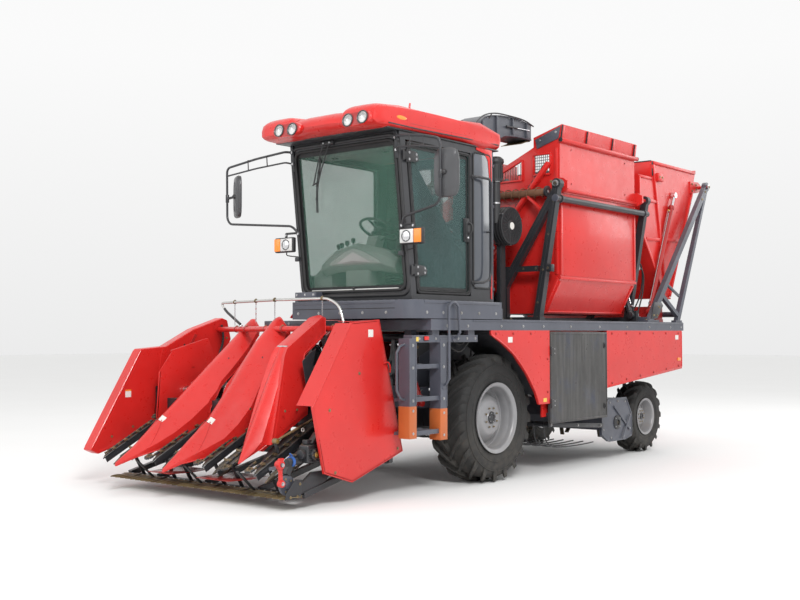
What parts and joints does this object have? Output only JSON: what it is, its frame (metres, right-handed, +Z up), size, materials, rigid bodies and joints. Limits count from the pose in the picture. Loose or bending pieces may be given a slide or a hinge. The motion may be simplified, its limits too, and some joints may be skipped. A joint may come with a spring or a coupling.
{
  "type": "corn harvester",
  "caption": "Self-propelled corn harvester: row header with snouts and auger, glazed cab, side-tipping stalk bin and rear-tipping ear bin on four wheels",
  "frame": {"origin": "centre of the overall box in plan, at ground level", "axes": "+X forwards in the direction of travel, +Y to the machine's left, +Z up"},
  "size_m": [7.762, 3.6079, 3.775],
  "materials": {
    "red_paint": "satin red enamel, faded and dusty in places",
    "grey_paint": "dark blue-grey enamel",
    "dark_paint": "near-black enamel",
    "silver_paint": "silver-grey wheel enamel",
    "steel": "ground and polished steel",
    "worn_iron": "bare iron with brown film",
    "tyre_rubber": "black rubber",
    "tinted_glass": "green tinted safety glass",
    "seat_cloth": "black woven cloth",
    "black_plastic": "black moulded plastic"
  },
  "bodies": {
    "chassis": {"chassis_frame": "grey_paint", "front_axle": "dark_paint", "rear_axle_beam": "dark_paint", "engine": "worn_iron", "exhaust": "worn_iron", "cab_platform": "grey_paint", "cab_frame": "dark_paint", "cab_roof": "red_paint", "windshield": "tinted_glass", "right_window": "tinted_glass", "rear_window": "tinted_glass", "driver_seat": "seat_cloth", "steering_console": "black_plastic", "ladder": "grey_paint", "mirror_left": "black_plastic", "mirror_right": "black_plastic", "air_cleaner": "black_plastic", "side_panel_left": "red_paint", "side_panel_right": "red_paint", "bin_stand": "dark_paint", "rear_bin_stand": "grey_paint", "rear_bin_saddle": "red_paint", "ear_elevator": "red_paint", "stalk_duct": "grey_paint", "chopper_housing": "grey_paint"},
    "header": {"header_frame": "dark_paint", "row_units": "worn_iron", "row_dividers": "red_paint", "end_divider_right": "red_paint", "end_shield_left": "red_paint", "cutter_bar": "worn_iron", "guard_rail": "silver_paint"},
    "header_auger": {"header_auger": "steel"},
    "cab_door": {"cab_door": "black_plastic", "cab_door_window": "tinted_glass"},
    "service_door": {"service_door": "dark_paint"},
    "stalk_spout": {"stalk_spout": "grey_paint"},
    "main_bin": {"main_bin": "red_paint"},
    "rear_bin": {"rear_bin": "red_paint"},
    "chopper_rotor": {"chopper_rotor": "worn_iron"},
    "main_bin_ram_barrel": {"main_bin_ram_barrel": "dark_paint"},
    "main_bin_ram_rod": {"main_bin_ram_rod": "steel"},
    "header_lift_left_barrel": {"header_lift_left_barrel": "red_paint"},
    "header_lift_left_rod": {"header_lift_left_rod": "steel"},
    "rear_bin_ram_left_barrel": {"rear_bin_ram_left_barrel": "red_paint"},
    "rear_bin_ram_left_rod": {"rear_bin_ram_left_rod": "steel"},
    "steering_knuckle_left": {"steering_knuckle_left": "dark_paint"},
    "front_wheel_left": {"front_tyre_left": "tyre_rubber", "front_rim_left": "silver_paint"},
    "rear_wheel_left": {"rear_tyre_left": "tyre_rubber", "rear_rim_left": "silver_paint"},
    "header_lift_right_barrel": {"header_lift_right_barrel": "red_paint"},
    "header_lift_right_rod": {"header_lift_right_rod": "steel"},
    "rear_bin_ram_right_barrel": {"rear_bin_ram_right_barrel": "red_paint"},
    "rear_bin_ram_right_rod": {"rear_bin_ram_right_rod": "steel"},
    "steering_knuckle_right": {"steering_knuckle_right": "dark_paint"},
    "front_wheel_right": {"front_tyre_right": "tyre_rubber", "front_rim_right": "silver_paint"},
    "rear_wheel_right": {"rear_tyre_right": "tyre_rubber", "rear_rim_right": "silver_paint"}
  },
  "joints": [
    {"name": "header_lift", "type": "hinge", "parent": "chassis", "child": "header", "pos_m": [1.331, 0.146, 1.42], "axis": [0, -1, 0], "range_deg": [0, 15]},
    {"name": "header_auger_spin", "type": "hinge", "parent": "header", "child": "header_auger", "pos_m": [2.661, 0.146, 0.88], "axis": [0, 1, 0], "continuous": true},
    {"name": "header_lift_left_swing", "type": "hinge", "parent": "chassis", "child": "header_lift_left_barrel", "pos_m": [1.641, 0.756, 0.8], "axis": [0, -1, 0], "range_deg": [0, 6]},
    {"name": "header_lift_left_stroke", "type": "slide", "parent": "header_lift_left_barrel", "child": "header_lift_left_rod", "axis": [0.4599, 0, 0.888], "range_m": [0, 0.1443]},
    {"name": "header_lift_right_swing", "type": "hinge", "parent": "chassis", "child": "header_lift_right_barrel", "pos_m": [1.641, -0.314, 0.8], "axis": [0, -1, 0], "range_deg": [0, 6]},
    {"name": "header_lift_right_stroke", "type": "slide", "parent": "header_lift_right_barrel", "child": "header_lift_right_rod", "axis": [0.4599, 0, 0.888], "range_m": [0, 0.1443]},
    {"name": "cab_door_swing", "type": "hinge", "parent": "chassis", "child": "cab_door", "pos_m": [2.36237, 1.242, 2], "axis": [-0.1164, 0, -0.9932], "range_deg": [0, 75]},
    {"name": "service_door_swing", "type": "hinge", "parent": "chassis", "child": "service_door", "pos_m": [0.191, 1.338, 1], "axis": [0, 0, -1], "range_deg": [0, 100]},
    {"name": "front_wheel_left_spin", "type": "hinge", "parent": "chassis", "child": "front_wheel_left", "pos_m": [0.981, 1.01, 0.6325], "axis": [0, 1, 0], "continuous": true},
    {"name": "front_wheel_right_spin", "type": "hinge", "parent": "chassis", "child": "front_wheel_right", "pos_m": [0.981, -0.718, 0.6325], "axis": [0, 1, 0], "continuous": true},
    {"name": "steering_left", "type": "hinge", "parent": "chassis", "child": "steering_knuckle_left", "pos_m": [-2.513, 0.706, 0.434], "axis": [0, 0, 1], "range_deg": [-35, 35]},
    {"name": "rear_wheel_left_spin", "type": "hinge", "parent": "steering_knuckle_left", "child": "rear_wheel_left", "pos_m": [-2.513, 0.896, 0.434], "axis": [0, 1, 0], "continuous": true},
    {"name": "steering_right", "type": "hinge", "parent": "chassis", "child": "steering_knuckle_right", "pos_m": [-2.513, -0.414, 0.434], "axis": [0, 0, 1], "range_deg": [-35, 35]},
    {"name": "rear_wheel_right_spin", "type": "hinge", "parent": "steering_knuckle_right", "child": "rear_wheel_right", "pos_m": [-2.513, -0.604, 0.434], "axis": [0, 1, 0], "continuous": true},
    {"name": "main_bin_tip", "type": "hinge", "parent": "chassis", "child": "main_bin", "pos_m": [-0.179, 1.286, 3.05], "axis": [-1, 0, 0], "range_deg": [0, 100]},
    {"name": "main_bin_ram_swing", "type": "hinge", "parent": "chassis", "child": "main_bin_ram_barrel", "pos_m": [-1.954, 1.126, 1.68], "axis": [-1, 0, 0], "range_deg": [0, 13.71]},
    {"name": "main_bin_ram_stroke", "type": "slide", "parent": "main_bin_ram_barrel", "child": "main_bin_ram_rod", "axis": [0, -0.2822, 0.9594], "range_m": [0, 0.8285]},
    {"name": "rear_bin_tip", "type": "hinge", "parent": "chassis", "child": "rear_bin", "pos_m": [-3.819, 0.146, 3.4], "axis": [0, -1, 0], "range_deg": [0, 95]},
    {"name": "rear_bin_ram_left_swing", "type": "hinge", "parent": "chassis", "child": "rear_bin_ram_left_barrel", "pos_m": [-2.319, 1.186, 1.72], "axis": [0, -1, 0], "range_deg": [0, 4.41]},
    {"name": "rear_bin_ram_left_stroke", "type": "slide", "parent": "rear_bin_ram_left_barrel", "child": "rear_bin_ram_left_rod", "axis": [-0.4278, 0, 0.9039], "range_m": [0, 1.1905]},
    {"name": "rear_bin_ram_right_swing", "type": "hinge", "parent": "chassis", "child": "rear_bin_ram_right_barrel", "pos_m": [-2.319, -0.894, 1.72], "axis": [0, -1, 0], "range_deg": [0, 4.41]},
    {"name": "rear_bin_ram_right_stroke", "type": "slide", "parent": "rear_bin_ram_right_barrel", "child": "rear_bin_ram_right_rod", "axis": [-0.4278, 0, 0.9039], "range_m": [0, 1.1905]},
    {"name": "stalk_spout_swivel", "type": "hinge", "parent": "chassis", "child": "stalk_spout", "pos_m": [0.731, 0.736, 3.4], "axis": [0, 0, 1], "range_deg": [0, 90]},
    {"name": "chopper_rotor_spin", "type": "hinge", "parent": "chassis", "child": "chopper_rotor", "pos_m": [-1.519, 0.146, 0.43], "axis": [0, 1, 0], "continuous": true}
  ],
  "couplings": [
    {"joint": "header_lift_left_swing", "follows": "header_lift", "ratio": 0.38025},
    {"joint": "header_lift_left_stroke", "follows": "header_lift", "m_per_rad": 0.53963},
    {"joint": "header_lift_right_swing", "follows": "header_lift", "ratio": 0.38025},
    {"joint": "header_lift_right_stroke", "follows": "header_lift", "m_per_rad": 0.53963},
    {"joint": "main_bin_ram_swing", "follows": "main_bin_tip", "ratio": 0.13205},
    {"joint": "main_bin_ram_stroke", "follows": "main_bin_tip", "m_per_rad": 0.47183},
    {"joint": "rear_bin_ram_left_swing", "follows": "rear_bin_tip", "ratio": 0.04111},
    {"joint": "rear_bin_ram_left_stroke", "follows": "rear_bin_tip", "m_per_rad": 0.71501},
    {"joint": "rear_bin_ram_right_swing", "follows": "rear_bin_tip", "ratio": 0.04111},
    {"joint": "rear_bin_ram_right_stroke", "follows": "rear_bin_tip", "m_per_rad": 0.71501},
    {"joint": "steering_right", "follows": "steering_left", "ratio": 1}
  ]
}
